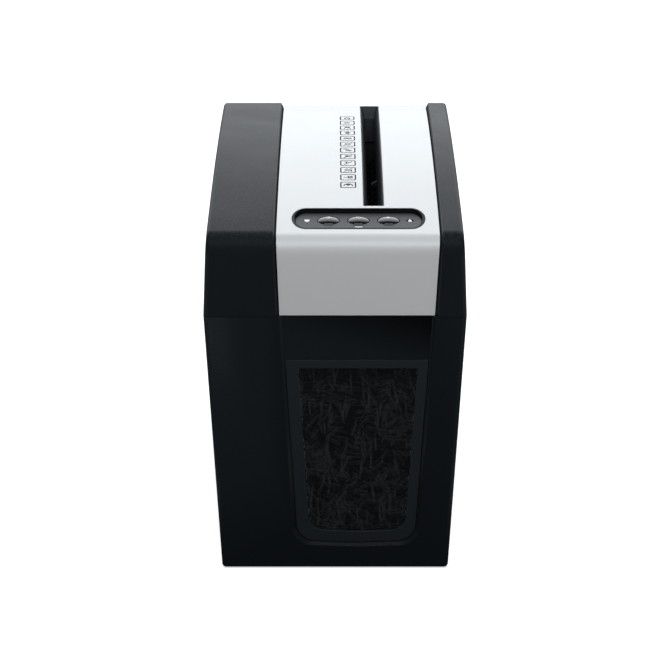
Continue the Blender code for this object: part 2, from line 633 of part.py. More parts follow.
def make_electrics(plastic, steel, board_green, rubber_black):
    board = box("power_board", (-0.0700, 0.0300, 0.1665), (-0.0250, 0.1150, 0.1681), board_green)
    for low, high in (((-0.0650, 0.0350, 0.1675), (-0.0450, 0.0550, 0.1900)),
                      ((-0.0600, 0.0650, 0.1675), (-0.0350, 0.0850, 0.1860)),
                      ((-0.0660, 0.0950, 0.1675), (-0.0500, 0.1100, 0.1950))):
        join(board, box("component", low, high))
    profile = [(0.1400, 0.0070), (0.1425, 0.0070), (0.1425, 0.0046), (0.1468, 0.0046)]
    gland = turned("cord_gland", profile, (CORD_X, 0, CORD_Z), "Y", 12, rubber_black)
    cut(gland, turned("bore", [(0.1300, 0.0031), (0.1600, 0.0031)], (CORD_X, 0, CORD_Z), "Y", 12))
    switch = box("bin_switch", (0.0712, 0.0420, 0.1925), (0.0788, 0.0580, 0.2060), plastic)
    cut(switch, turned("bore", [(0.1800, 0.0018), (0.2020, 0.0018)], (0.0750, 0.0500, 0), "Z", 10))
    profile = [(0.1803, 0.0014), (0.1980, 0.0014)]
    plunger = turned("switch_plunger", profile, (0.0750, 0.0500, 0), "Z", 10, plastic)
    set_origin(plunger, (0.0750, 0.0500, 0.1900))
    pivot = (0.0375, 0.0080, 0.2290)
    arm = [(0.0250, 0.2240), (0.0258, 0.2225), (0.0400, 0.2268), (0.0405, 0.2300),
           (0.0385, 0.2315), (0.0355, 0.2300)]
    lever = prism("paper_sensor_lever", arm, "Y", 0.0060, 0.0100, plastic)
    cut(lever, turned("bore", [(0.0, 0.0013), (0.02, 0.0013)], (pivot[0], 0, pivot[2]), "Y", 10))
    set_origin(lever, pivot)
    turned("sensor_pin", [(0.0020, 0.0010), (0.0140, 0.0010)], (pivot[0], 0, pivot[2]), "Y", 8, steel)


clear_scene()
black = finish("black plastic", (0.03, 0.035, 0.04), 0.35)
silver = finish("silver cover", (0.75, 0.76, 0.78), 0.35, 0.3)
gloss_black = finish("gloss black", (0.01, 0.01, 0.012), 0.1)
tinted = finish("tinted window", (0.02, 0.025, 0.03), 0.1, 0.0, 0.5)
light_white = finish("sign lens", (0.9, 0.92, 0.95), 0.3)
rubber = finish("rubber", (0.03, 0.03, 0.03), 0.8)
shreds = finish("paper", (0.8, 0.8, 0.78), 0.9)
steel = finish("steel", (0.5, 0.5, 0.52), 0.35, 1.0)
motor_steel = finish("motor steel", (0.3, 0.31, 0.32), 0.4, 1.0)
nylon = finish("white nylon", (0.85, 0.84, 0.8), 0.5)
green_board = finish("circuit board", (0.03, 0.2, 0.08), 0.5)

make_bin(black, tinted, rubber, shreds)
make_housing(black)
make_cover(silver)
make_liner(black)
make_island(black, gloss_black, light_white, green_board)
make_drive(steel, nylon, motor_steel)
make_lower_housing(black, steel)
make_electrics(black, steel, green_board, rubber)
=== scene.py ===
"""Slim home paper shredder on a pale studio floor: the looks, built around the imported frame. Metres, +Z up."""
import math
import random

import bmesh
import bpy
from mathutils import Matrix, Vector


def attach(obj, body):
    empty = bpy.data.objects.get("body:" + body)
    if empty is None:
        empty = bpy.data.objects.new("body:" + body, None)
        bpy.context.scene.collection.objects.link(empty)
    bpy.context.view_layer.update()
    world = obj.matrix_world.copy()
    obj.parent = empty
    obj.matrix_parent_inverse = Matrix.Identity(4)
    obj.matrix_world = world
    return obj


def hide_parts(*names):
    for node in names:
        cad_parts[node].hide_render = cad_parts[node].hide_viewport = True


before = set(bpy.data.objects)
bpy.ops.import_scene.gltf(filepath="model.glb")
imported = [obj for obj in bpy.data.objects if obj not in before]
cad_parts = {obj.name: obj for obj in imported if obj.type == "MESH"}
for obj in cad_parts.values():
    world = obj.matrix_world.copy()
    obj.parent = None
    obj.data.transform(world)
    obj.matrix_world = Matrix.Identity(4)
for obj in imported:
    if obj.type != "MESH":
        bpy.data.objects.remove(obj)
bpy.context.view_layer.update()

# ---------------------------------------------------------------------------------------------------------------
# Studio: a long lens a little above the bin, a pale floor, a bright wall of light behind and soft boxes above.
TARGET = Vector((-0.00005, 0.0, 0.1132))
VIEW_ELEVATION = math.radians(22.9)
VIEW_DISTANCE = 1.739
LENS_MM = 131.4

camera = bpy.data.objects.new("camera", bpy.data.cameras.new("camera"))
camera.data.sensor_width = 36
camera.data.lens = LENS_MM
camera.location = TARGET + VIEW_DISTANCE * Vector((0, -math.cos(VIEW_ELEVATION), math.sin(VIEW_ELEVATION)))
camera.rotation_euler = (math.pi / 2 - VIEW_ELEVATION, 0, 0)
bpy.context.scene.collection.objects.link(camera)
bpy.context.scene.camera = camera
bpy.context.scene.view_settings.view_transform = "Standard"


def soft_box(name, place, size, power):
    data = bpy.data.lights.new(name, "AREA")
    data.shape = "RECTANGLE"
    data.size, data.size_y = size
    data.energy = power
    lamp = bpy.data.objects.new(name, data)
    lamp.location = place
    lamp.rotation_euler = (Vector(place) - TARGET).to_track_quat("Z", "Y").to_euler()
    lamp.visible_glossy = False
    bpy.context.scene.collection.objects.link(lamp)


soft_box("overhead", (0.0, 0.6, 1.6), (1.6, 1.6), 9)
soft_box("key", (0.1, -1.15, 1.75), (1.4, 1.0), 32.5)


def node(tree, kind, **settings):
    """Add a shader node; settings name its attributes, or sockets as in_0, in_Scale."""
    made = tree.nodes.new(kind)
    for key, value in settings.items():
        if key.startswith("in_"):
            socket = key[3:].replace("_", " ")
            made.inputs[int(socket) if socket.isdigit() else socket].default_value = value
        else:
            setattr(made, key, value)
    return made


world = bpy.data.worlds.new("studio")
bpy.context.scene.world = world
world.use_nodes = True
sky = world.node_tree
sky.nodes.clear()
where = node(sky, "ShaderNodeTexCoord")
parts = node(sky, "ShaderNodeSeparateXYZ")
back = node(sky, "ShaderNodeMapRange", in_From_Min=0.45, in_From_Max=1.0, in_To_Min=0.05, in_To_Max=1.6)
up = node(sky, "ShaderNodeMapRange", in_From_Min=-0.05, in_From_Max=0.12, in_To_Min=0.04, in_To_Max=1.0)
tint = node(sky, "ShaderNodeMix", data_type="RGBA")
tint.inputs["A"].default_value = (0.95, 0.985, 1.02, 1)
tint.inputs["B"].default_value = (1, 1, 1, 1)
both = node(sky, "ShaderNodeMath", operation="MULTIPLY")
seen = node(sky, "ShaderNodeLightPath")
pick = node(sky, "ShaderNodeMix", data_type="FLOAT")
pick.inputs["B"].default_value = 1.0
glow = node(sky, "ShaderNodeBackground")
out = node(sky, "ShaderNodeOutputWorld")
sky.links.new(where.outputs["Generated"], parts.inputs[0])
sky.links.new(parts.outputs["Y"], back.inputs["Value"])
sky.links.new(parts.outputs["Z"], up.inputs["Value"])
sky.links.new(back.outputs[0], both.inputs[0])
sky.links.new(up.outputs[0], both.inputs[1])
sky.links.new(seen.outputs["Is Camera Ray"], pick.inputs["Factor"])
sky.links.new(both.outputs[0], pick.inputs["A"])
sky.links.new(seen.outputs["Is Camera Ray"], tint.inputs["Factor"])
sky.links.new(tint.outputs["Result"], glow.inputs["Color"])
sky.links.new(pick.outputs[0], glow.inputs["Strength"])
sky.links.new(glow.outputs[0], out.inputs["Surface"])

floor_mesh = bpy.data.meshes.new("floor")
FLOOR_HALF = 6.0
floor_mesh.from_pydata([(x * FLOOR_HALF, y * FLOOR_HALF, 0) for x, y in ((-1, -1), (1, -1), (1, 1), (-1, 1))], [],
                       [(0, 1, 2, 3)])
floor = bpy.data.objects.new("floor", floor_mesh)
bpy.context.scene.collection.objects.link(floor)
floor_paint = bpy.data.materials.new("studio floor")
floor_paint.use_nodes = True
tree = floor_paint.node_tree
# Painted light: the floor glows. The camera sees it evenly pale, while reflections and bounced light see it dark
# beside the object and glowing brighter further out to the sides.
seen = node(tree, "ShaderNodeLightPath")
tone = node(tree, "ShaderNodeMix", data_type="RGBA")
tone.inputs["B"].default_value = (0.96, 0.96, 0.96, 1)
across_floor = node(tree, "ShaderNodeTexCoord")
apart = node(tree, "ShaderNodeSeparateXYZ")
far_side = node(tree, "ShaderNodeMath", operation="ABSOLUTE")
sides = node(tree, "ShaderNodeMapRange", in_From_Min=0.13, in_From_Max=0.32, in_To_Min=0.04, in_To_Max=0.38)
tree.links.new(across_floor.outputs["Object"], apart.inputs[0])
tree.links.new(apart.outputs["X"], far_side.inputs[0])
tree.links.new(far_side.outputs[0], sides.inputs["Value"])
tree.links.new(sides.outputs[0], tone.inputs["A"])
tree.links.new(seen.outputs["Is Camera Ray"], tone.inputs["Factor"])
tree.links.new(tone.outputs["Result"], tree.nodes["Principled BSDF"].inputs["Base Color"])
tree.nodes["Principled BSDF"].inputs["Roughness"].default_value = 0.9
tree.nodes["Principled BSDF"].inputs["Specular IOR Level"].default_value = 0.1
tree.nodes["Principled BSDF"].inputs["Emission Strength"].default_value = 0.65
tree.links.new(tone.outputs["Result"], tree.nodes["Principled BSDF"].inputs["Emission Color"])
floor.data.materials.append(floor_paint)

# ---------------------------------------------------------------------------------------------------------------
# Effects that several finishes share: the fine grain of a moulded face, the soft clouding of handled plastic,
# and the dust that settles on faces that look up.


def effect(name, inputs, outputs):
    group = bpy.data.node_groups.new(name, "ShaderNodeTree")
    for label, value in inputs:
        socket = group.interface.new_socket(label, in_out="INPUT", socket_type="NodeSocketFloat")
        socket.default_value = value
    for label in outputs:
        group.interface.new_socket(label, in_out="OUTPUT", socket_type="NodeSocketFloat")
    return group, group.nodes.new("NodeGroupInput"), group.nodes.new("NodeGroupOutput")


grain_group, grain_in, grain_out = effect("moulded_grain", (("Scale", 2500.0),), ("Height", "Speck"))
place = node(grain_group, "ShaderNodeTexCoord")
pebble = node(grain_group, "ShaderNodeTexNoise", in_Detail=3.0, in_Roughness=0.6)
pit = node(grain_group, "ShaderNodeTexVoronoi", feature="SMOOTH_F1")
total = node(grain_group, "ShaderNodeMath", operation="ADD")
grain_group.links.new(place.outputs["Object"], pebble.inputs["Vector"])
grain_group.links.new(place.outputs["Object"], pit.inputs["Vector"])
grain_group.links.new(grain_in.outputs["Scale"], pebble.inputs["Scale"])
grain_group.links.new(grain_in.outputs["Scale"], pit.inputs["Scale"])
grain_group.links.new(pebble.outputs["Fac"], total.inputs[0])
grain_group.links.new(pit.outputs["Distance"], total.inputs[1])
grain_group.links.new(total.outputs[0], grain_out.inputs["Height"])
grain_group.links.new(pebble.outputs["Fac"], grain_out.inputs["Speck"])

cloud_group, cloud_in, cloud_out = effect("handling_cloud", (("Scale", 14.0), ("Low", 0.3), ("High", 0.4)),
                                          ("Value",))
place = node(cloud_group, "ShaderNodeTexCoord")
smear = node(cloud_group, "ShaderNodeTexNoise", in_Detail=4.0, in_Distortion=0.6)
spread = node(cloud_group, "ShaderNodeMapRange", in_From_Min=0.3, in_From_Max=0.7)
cloud_group.links.new(place.outputs["Object"], smear.inputs["Vector"])
cloud_group.links.new(cloud_in.outputs["Scale"], smear.inputs["Scale"])
cloud_group.links.new(smear.outputs["Fac"], spread.inputs["Value"])
cloud_group.links.new(cloud_in.outputs["Low"], spread.inputs["To Min"])
cloud_group.links.new(cloud_in.outputs["High"], spread.inputs["To Max"])
cloud_group.links.new(spread.outputs[0], cloud_out.inputs["Value"])

dust_group, dust_in, dust_out = effect("settled_dust", (("Amount", 0.05),), ("Mask",))
facing = node(dust_group, "ShaderNodeNewGeometry")
split = node(dust_group, "ShaderNodeSeparateXYZ")
upward = node(dust_group, "ShaderNodeMapRange", in_From_Min=0.5, in_From_Max=1.0)
place = node(dust_group, "ShaderNodeTexCoord")
fluff = node(dust_group, "ShaderNodeTexNoise", in_Scale=900.0, in_Detail=6.0)
sparse = node(dust_group, "ShaderNodeMapRange", in_From_Min=0.45, in_From_Max=0.75)
falls = node(dust_group, "ShaderNodeMath", operation="MULTIPLY")
scaled = node(dust_group, "ShaderNodeMath", operation="MULTIPLY")
dust_group.links.new(facing.outputs["Normal"], split.inputs[0])
dust_group.links.new(split.outputs["Z"], upward.inputs["Value"])
dust_group.links.new(place.outputs["Object"], fluff.inputs["Vector"])
dust_group.links.new(fluff.outputs["Fac"], sparse.inputs["Value"])
dust_group.links.new(upward.outputs[0], falls.inputs[0])
dust_group.links.new(sparse.outputs[0], falls.inputs[1])
dust_group.links.new(falls.outputs[0], scaled.inputs[0])
dust_group.links.new(dust_in.outputs["Amount"], scaled.inputs[1])
dust_group.links.new(scaled.outputs[0], dust_out.inputs["Mask"])


def surface(name, color, rough, metallic=0.0, grain=2500.0, bump=0.02, dust=0.04, specular=0.5, coat=0.0):
    """Opaque finish: rough is the (lowest, highest) roughness that handling clouds between."""
    material = bpy.data.materials.new(name)
    material.use_nodes = True
    tree = material.node_tree
    shader = tree.nodes["Principled BSDF"]
    shader.inputs["Metallic"].default_value = metallic
    shader.inputs["Specular IOR Level"].default_value = specular
    shader.inputs["Coat Weight"].default_value = coat
    shader.inputs["Coat Roughness"].default_value = 0.12
    grains = node(tree, "ShaderNodeGroup", node_tree=grain_group)
    grains.inputs["Scale"].default_value = grain
    clouds = node(tree, "ShaderNodeGroup", node_tree=cloud_group)
    clouds.inputs["Low"].default_value, clouds.inputs["High"].default_value = rough
    dusty = node(tree, "ShaderNodeGroup", node_tree=dust_group)
    dusty.inputs["Amount"].default_value = dust
    speckle = node(tree, "ShaderNodeMix", data_type="RGBA")
    speckle.inputs["A"].default_value = (*[c * 0.92 for c in color], 1)
    speckle.inputs["B"].default_value = (*[min(c * 1.08, 1) for c in color], 1)
    covered = node(tree, "ShaderNodeMix", data_type="RGBA")
    covered.inputs["B"].default_value = (0.55, 0.54, 0.52, 1)
    relief = node(tree, "ShaderNodeBump", in_Strength=bump, in_Distance=0.0002)
    tree.links.new(grains.outputs["Speck"], speckle.inputs["Factor"])
    tree.links.new(speckle.outputs["Result"], covered.inputs["A"])
    tree.links.new(dusty.outputs["Mask"], covered.inputs["Factor"])
    tree.links.new(covered.outputs["Result"], shader.inputs["Base Color"])
    tree.links.new(clouds.outputs["Value"], shader.inputs["Roughness"])
    tree.links.new(grains.outputs["Height"], relief.inputs["Height"])
    tree.links.new(relief.outputs["Normal"], shader.inputs["Normal"])
    return material


def dress(material, *names):
    """Give CAD nodes whose shape is right their finish."""
    for name in names:
        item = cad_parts[name]
        item.data.materials.clear()
        item.data.materials.append(material)


# ---------------------------------------------------------------------------------------------------------------
# Bin shell: one injection moulding in black ABS with a satin spark finish, drafted so that it leaves its mould
# and narrows to the floor. A shallow field with slanted sides is sunk in its front for the window.
SEAM_PLANE_Z = 0.188
SEAM_Z = 0.18785
BASE_Z = 0.001
SEAM_HALF = Vector((0.0850, 0.14765))
BASE_HALF = Vector((0.0763, 0.1390))
WALL = 0.0025
FIELD_DEPTH = 0.0020
FIELD_SLANT = 0.0017
POCKET_DEPTH = 0.0012
PLATE_TOP_Z = 0.157

body_black = surface("satin black plastic", (0.0078, 0.0102, 0.0125), (0.30, 0.38), specular=0.135)


def skin(name, rings, closed=False):
    """Skin equal rings of points into a closed body; closed joins the last ring to the first."""
    mesh = bmesh.new()
    rows = [[mesh.verts.new(point) for point in ring] for ring in rings]
    pairs = list(zip(rows, rows[1:])) + ([(rows[-1], rows[0])] if closed else [])
    for lower, upper in pairs:
        for i in range(len(lower)):
            j = (i + 1) % len(lower)
            mesh.faces.new((lower[i], lower[j], upper[j], upper[i]))
    if not closed:
        mesh.faces.new(rows[0][::-1])
        mesh.faces.new(rows[-1])
    bmesh.ops.recalc_face_normals(mesh, faces=mesh.faces)
    if mesh.calc_volume(signed=True) < 0:
        bmesh.ops.reverse_faces(mesh, faces=mesh.faces)
    data = bpy.data.meshes.new(name)
    mesh.to_mesh(data)
    mesh.free()
    piece = bpy.data.objects.new(name, data)
    bpy.context.scene.collection.objects.link(piece)
    return piece


def rounded(corners, steps=8):
    """Turn (u, v, radius) corners into an outline with its corners as arcs."""
    outline = []
    for i, (u, v, radius) in enumerate(corners):
        if radius == 0:
            outline.append((u, v))
            continue
        here = Vector((u, v))
        before = (Vector(corners[i - 1][:2]) - here).normalized()
        after = (Vector(corners[(i + 1) % len(corners)][:2]) - here).normalized()
        half = before.angle(after) / 2
        centre = here + (before + after).normalized() * (radius / math.sin(half))
        start = here + before * (radius / math.tan(half)) - centre
        side = 1 if before.x * after.y - before.y * after.x < 0 else -1
        for k in range(steps + 1):
            turn = side * (math.pi - 2 * half) * k / steps
            c, s = math.cos(turn), math.sin(turn)
            outline.append((centre.x + start.x * c - start.y * s, centre.y + start.x * s + start.y * c))
    return outline


def modified(piece):
    """Bake a piece's modifiers into its mesh."""
    bpy.context.view_layer.update()
    graph = bpy.context.evaluated_depsgraph_get()
    data = bpy.data.meshes.new_from_object(piece.evaluated_get(graph))
    piece.modifiers.clear()
    piece.data = data
    return piece


def cut(piece, *tools, operation="DIFFERENCE"):
    for tool in tools:
        carve = piece.modifiers.new("carve", "BOOLEAN")
        carve.operation = operation
        carve.object = tool
        modified(piece)
        bpy.data.objects.remove(tool, do_unlink=True)
    return piece


def soften(piece, width=0.0004, steps=2, angle=35):
    """Round the sharp edges a little, as every moulded or pressed edge is, and shade the rest smooth."""
    bevel = piece.modifiers.new("edge", "BEVEL")
    bevel.width = width
    bevel.segments = steps
    bevel.limit_method = "ANGLE"
    bevel.angle_limit = math.radians(angle)
    bevel.harden_normals = False
    modified(piece)
    piece.data.shade_smooth()
    weigh = piece.modifiers.new("weigh", "WEIGHTED_NORMAL")
    weigh.keep_sharp = True
    weigh.weight = 100
    return modified(piece)


def show(piece, material, body, slot, *replaced):
    piece.data.materials.clear()
    piece.data.materials.append(material)
    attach(piece, body)
    if replaced:
        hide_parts(*replaced)
    return piece


def bin_half(z):
    return BASE_HALF.lerp(SEAM_HALF, z / SEAM_PLANE_Z)


def bin_ring(z, inset, radius):
    half = bin_half(z)
    corners = [(-half.x + inset, -half.y + inset, radius), (half.x - inset, -half.y + inset, radius),
               (half.x - inset, half.y - inset, radius), (-half.x + inset, half.y - inset, radius)]
    return [(x, y, z) for x, y in rounded(corners, 6)]


def field_outline(grow, top_z, low_z=0.0195, radius=0.013):
    """Sunk field in X and Z: sides that lean in towards the floor and a slightly bowed lower edge."""
    rise = top_z / SEAM_PLANE_Z
    left = -0.0276 - 0.0086 * rise - grow
    right = 0.0557 + 0.0089 * rise + grow
    low = low_z - grow
    bow = [(x, low - 0.0016 * math.cos((x - 0.014) / 0.042 * math.pi / 2) ** 2, 0) for x in (0.002, 0.014, 0.026)]
    corners = [(left, top_z, 0), (-0.0276 - grow, low, radius)] + bow
    return rounded(corners + [(0.0557 + grow, low, radius), (right, top_z, 0)], 10)


def front_block(name, near_outline, far_outline, near, far):
    """Body between two depths behind the bin's leaning front; its outline may narrow on the way in."""
    rings = [[(x, -bin_half(z).y + depth, z) for x, z in line] for line, depth in
             ((near_outline, near), (far_outline, far))]
    return skin(name, rings)


def slanted_field(name, top_z):
    """Cutter for the sunk field: its sides slant in on their way down to its floor."""
    lip = field_outline(0.0002, top_z)
    ground = field_outline(-FIELD_SLANT, top_z)
    outer = [[(x, -bin_half(z).y + depth, z) for x, z in line] for line, depth in
             ((field_outline(0.004, top_z), -0.0050), (lip, 0.0), (ground, FIELD_DEPTH))]
    return skin(name, outer)


shell = skin("bin_shell_moulding", [bin_ring(BASE_Z, 0.0016, 0.002), bin_ring(BASE_Z + 0.0005, 0.0006, 0.0025),
                                    bin_ring(BASE_Z + 0.0016, 0.0, 0.003), bin_ring(SEAM_Z, 0.0, 0.003)])
hollow = skin("hollow", [bin_ring(BASE_Z + WALL, WALL, 0.002), bin_ring(SEAM_Z + 0.004, WALL, 0.002)])
thick = front_block("thick", field_outline(0.003, 0.2), field_outline(0.003, 0.2), -0.02,
                    FIELD_DEPTH + POCKET_DEPTH + 0.002)
cut(hollow, thick)
cut(shell, hollow, slanted_field("field", 0.2))
pocket = field_outline(-0.0021, PLATE_TOP_Z)
cut(shell, front_block("pocket", pocket, pocket, -0.02, FIELD_DEPTH + POCKET_DEPTH))
VIEW = rounded([(-0.0241, 0.1505, 0.0010), (-0.0170, 0.0300, 0.011), (0.0148, 0.0284, 0), (0.0466, 0.0300, 0.011),
                (0.0538, 0.1505, 0.0010)], 10)
cut(shell, front_block("view", VIEW, VIEW, -0.02, 0.02))
lug = skin("lug", [[(0.0715, 0.045, z), (0.0835, 0.045, z), (0.0835, 0.055, z), (0.0715, 0.055, z)]
                   for z in (0.15, 0.18)])
cut(shell, lug, operation="UNION")
show(soften(shell, 0.0005), body_black, "bin", "black_plastic", "bin_shell")

# ---------------------------------------------------------------------------------------------------------------
# Window: one plate of smoke-tinted clear plastic that clips into the pocket in the field. Its border is printed satin
# black from edge to edge, so only the rounded middle lets the shreds show; the print's colour is a little lighter
# than the shell's black, and that extra lightness is a painted sheen of the glossy plate over it.
PLATE_FACE = FIELD_DEPTH + POCKET_DEPTH - 0.0017
PANE_FACE = PLATE_FACE + 0.0004

printed = surface("window border print with painted sheen", (0.0150, 0.0190, 0.0225), (0.28, 0.34), bump=0.008, specular=0.35)

smoke = bpy.data.materials.new("smoke tinted pane")
smoke.use_nodes = True
tree = smoke.node_tree
shader = tree.nodes["Principled BSDF"]
shader.inputs["Base Color"].default_value = (0.055, 0.062, 0.070, 1)
shader.inputs["Transmission Weight"].default_value = 0.92
shader.inputs["Alpha"].default_value = 0.68
shader.inputs["IOR"].default_value = 1.45
shader.inputs["Specular IOR Level"].default_value = 0.35
clouds = node(tree, "ShaderNodeGroup", node_tree=cloud_group)
clouds.inputs["Low"].default_value, clouds.inputs["High"].default_value = 0.04, 0.09
tree.links.new(clouds.outputs["Value"], shader.inputs["Roughness"])

border_line = field_outline(-0.0024, PLATE_TOP_Z - 0.0004)
border = front_block("window_border", border_line, border_line, PLATE_FACE, FIELD_DEPTH + POCKET_DEPTH - 0.0003)
cut(border, front_block("view", VIEW, VIEW, -0.02, 0.02))
show(soften(border, 0.0003), printed, "bin", "black_plastic")
pane_line = rounded([(-0.0237, 0.1501, 0.0008), (-0.0166, 0.0304, 0.0108), (0.0462, 0.0304, 0.0108),
                     (0.0534, 0.1501, 0.0008)], 10)
pane = front_block("window_pane", pane_line, pane_line, PANE_FACE, FIELD_DEPTH + POCKET_DEPTH - 0.0003)
show(soften(pane, 0.0002), smoke, "bin", "smoke_window", "bin_window")

# ---------------------------------------------------------------------------------------------------------------
# Head housing: the matching moulding above the seam. Its two rails stand 2 mm proud of the silver cover that
# wraps between them, and the same shallow rounding runs round every long edge.
HEAD_LOW_Z = 0.18815
HEAD_TOP_Z = 0.241
HEAD_TOP_HALF = Vector((0.0827, 0.1445))
HEAD_FOOT_HALF = Vector((0.0850, 0.14765))
CREST_Z = 0.24906
DOME_R = 1.291
DOME_REACH = 0.118
FRONT_TOP_Z = 0.226
BACK_TOP_Z = 0.232
FRONT_FILLET = 0.014
BACK_FILLET = 0.006
LONG_EDGE_R = 0.0028
COVER_SINK = 0.0020
RAIL_SLANT = 0.0017
RAIL_LEFT_X = (-0.0381, -0.0362)
RAIL_RIGHT_X = (0.0674, 0.0646)


def dome(y, sink=0.0):
    return CREST_Z - DOME_R + math.sqrt(DOME_R ** 2 - y ** 2) - sink


def side_path(sink, low=HEAD_LOW_Z, back_low=HEAD_LOW_Z, crown_steps=40):
    """Side outline of the head at a depth under its surface: up the front, over the dome and down the back."""
    slope = (HEAD_FOOT_HALF.y - HEAD_TOP_HALF.y) / (HEAD_TOP_Z - SEAM_PLANE_Z)
    top = HEAD_TOP_HALF.y - sink

    def foot(z):
        return HEAD_FOOT_HALF.y - slope * (z - SEAM_PLANE_Z) - sink

    corners = [(-foot(low), low, 0)]
    corners += [(-foot(z), z, 0) for z in (low + (FRONT_TOP_Z - low) * k / 5 for k in range(1, 6))]
    corners.append((-top, dome(top, sink), FRONT_FILLET - sink))
    corners += [(y, dome(y, sink), 0)
                for y in (DOME_REACH * (2 * k / crown_steps - 1) for k in range(crown_steps + 1))]
    corners.append((top, dome(top, sink), max(BACK_FILLET - sink, 0.0005)))
    corners += [(foot(z), z, 0) for z in (BACK_TOP_Z + (back_low - BACK_TOP_Z) * k / 5 for k in range(6))]
    return rounded(corners, 12)


def side_x(z, span):
    """X of a cover edge: span is its place on the dome and at the seam."""
    return span[1] + (span[0] - span[1]) * min(max((z - SEAM_PLANE_Z) / (HEAD_TOP_Z - SEAM_PLANE_Z), 0), 1)


def half_width(z):
    return HEAD_FOOT_HALF.x + (HEAD_TOP_HALF.x - HEAD_FOOT_HALF.x) * (z - SEAM_PLANE_Z) / (HEAD_TOP_Z - SEAM_PLANE_Z)


def across(count, start, end):
    return [start + (end - start) * k / count for k in range(count + 1)]


def make_housing_skin():
    """Outer face as a strip of sections along the side path, closed by the two flat sides."""
    edge_steps = 5
    round_in = [(LONG_EDGE_R * (1 - math.cos(a)), LONG_EDGE_R * (1 - math.sin(a)))
                for a in across(edge_steps, 0, math.pi / 2)]
    slant = ((-RAIL_SLANT - 0.0006, 0.0), (-RAIL_SLANT, 0.00015), (-0.0003, COVER_SINK + 0.0008), (0.0, 0.0044))
    depths = [sink for _, sink in round_in] + [sink for _, sink in slant]
    depths += depths[::-1]
    paths = [side_path(sink) for sink in depths]
    mesh = bmesh.new()
    rows = []
    for k in range(len(paths[0])):
        z = paths[edge_steps][k][1]
        half = half_width(z)
        left, right = side_x(z, RAIL_LEFT_X), side_x(z, RAIL_RIGHT_X)
        xs = [-half + inset for inset, _ in round_in] + [left + shift for shift, _ in slant]
        xs += [right - shift for shift, _ in reversed(slant)] + [half - inset for inset, _ in reversed(round_in)]
        rows.append([mesh.verts.new((x, *path[k])) for x, path in zip(xs, paths)])
    for before, after in zip(rows, rows[1:]):
        for i in range(len(before) - 1):
            mesh.faces.new((before[i], before[i + 1], after[i + 1], after[i]))
    mesh.faces.new([row[0] for row in rows])
    mesh.faces.new([row[-1] for row in rows][::-1])
    bmesh.ops.recalc_face_normals(mesh, faces=mesh.faces)
    data = bpy.data.meshes.new("head_housing")
    mesh.to_mesh(data)
    mesh.free()
    piece = bpy.data.objects.new("head_housing", data)
    bpy.context.scene.collection.objects.link(piece)
    return piece


housing = make_housing_skin()
wall = housing.modifiers.new("wall", "SOLIDIFY")
wall.thickness = 0.0020
wall.offset = -1
modified(housing)
SLOT_X, SLOT_FRONT_Y, SLOT_BACK_Y = 0.0253, -0.0915, 0.1370
SLOT_MOUTH, THROAT, LINER_WALL = 0.0135, 0.0070, 0.0014
ISLAND_CENTRE = Vector((0.0152, -0.1110))
ISLAND_HALF = Vector((0.04325, 0.0160))
ISLAND_END = 0.0095
FLOOR_TILT = math.radians(-4.5)


def island_outline(grow, steps=14):
    """Control island: straight front and back, half-ellipse ends."""
    half_x, half_y = ISLAND_HALF.x + grow, ISLAND_HALF.y + grow
    straight = ISLAND_HALF.x - ISLAND_END
    outline = []
    for side in (1, -1):
        for angle in across(2 * steps, -math.pi / 2, math.pi / 2):
            outline.append((side * (straight + (half_x - straight) * math.cos(angle)),
                            side * half_y * math.sin(angle)))
    return outline


island_frame = (Matrix.Translation((ISLAND_CENTRE.x, ISLAND_CENTRE.y, dome(ISLAND_CENTRE.y, COVER_SINK)))
                @ Matrix.Rotation(-math.asin(ISLAND_CENTRE.y / DOME_R), 4, "X"))
floor_frame = island_frame @ Matrix.Translation((0, 0, -0.0020)) @ Matrix.Rotation(FLOOR_TILT, 4, "X")


def lay(outline, low, high, spot=None):
    """Upright body on an X, Y outline, laid in a leaning frame when one is given."""
    piece = skin("block", [[(x, y, z) for x, y in outline] for z in (low, high)])
    if spot:
        piece.data.transform(spot)
    return piece


def slot_block(grow, low, high):
    x0, x1 = SLOT_X - SLOT_MOUTH / 2 - grow, SLOT_X + SLOT_MOUTH / 2 + grow
    y0, y1 = SLOT_FRONT_Y - grow, SLOT_BACK_Y + grow
    return lay(rounded([(x0, y0, 0.0010), (x1, y0, 0.0010), (x1, y1, 0.0010), (x0, y1, 0.0010)], 3), low, high)


cut(housing, slot_block(0.0017, 0.225, 0.26), lay(island_outline(0.0003), -0.012, 0.02, island_frame))
show(soften(housing, 0.0004), body_black, "head", "black_plastic", "upper_housing")

# ---------------------------------------------------------------------------------------------------------------
# Silver cover: a thin moulding in metallic silver paint under a satin clear coat, laid between the rails and
# snapped in from below. It runs from the seam up the front, over the top and down over the back edge.
silver = surface("satin silver paint", (0.675, 0.695, 0.708), (0.36, 0.42), metallic=0.26, grain=6000.0, bump=0.006,
                 dust=0.0, coat=0.9)


def make_cover():
    outer, inner = (side_path(sink, HEAD_LOW_Z + 0.0003, 0.2300) for sink in (COVER_SINK, COVER_SINK + 0.0018))
    rings = []
    for near, far in zip(outer, inner):
        left, right = side_x(near[1], RAIL_LEFT_X) + 0.0003, side_x(near[1], RAIL_RIGHT_X) - 0.0003
        columns = across(24, left, right)
        rings.append([(x, *near) for x in columns] + [(x, *far) for x in reversed(columns)])
    return skin("silver_cover", rings)


cover = make_cover()
cut(cover, slot_block(0.0002, 0.225, 0.26), lay(island_outline(0.0002), -0.012, 0.02, island_frame))
show(soften(cover, 0.0005, 3), silver, "head", "silver_cover", "top_cover")

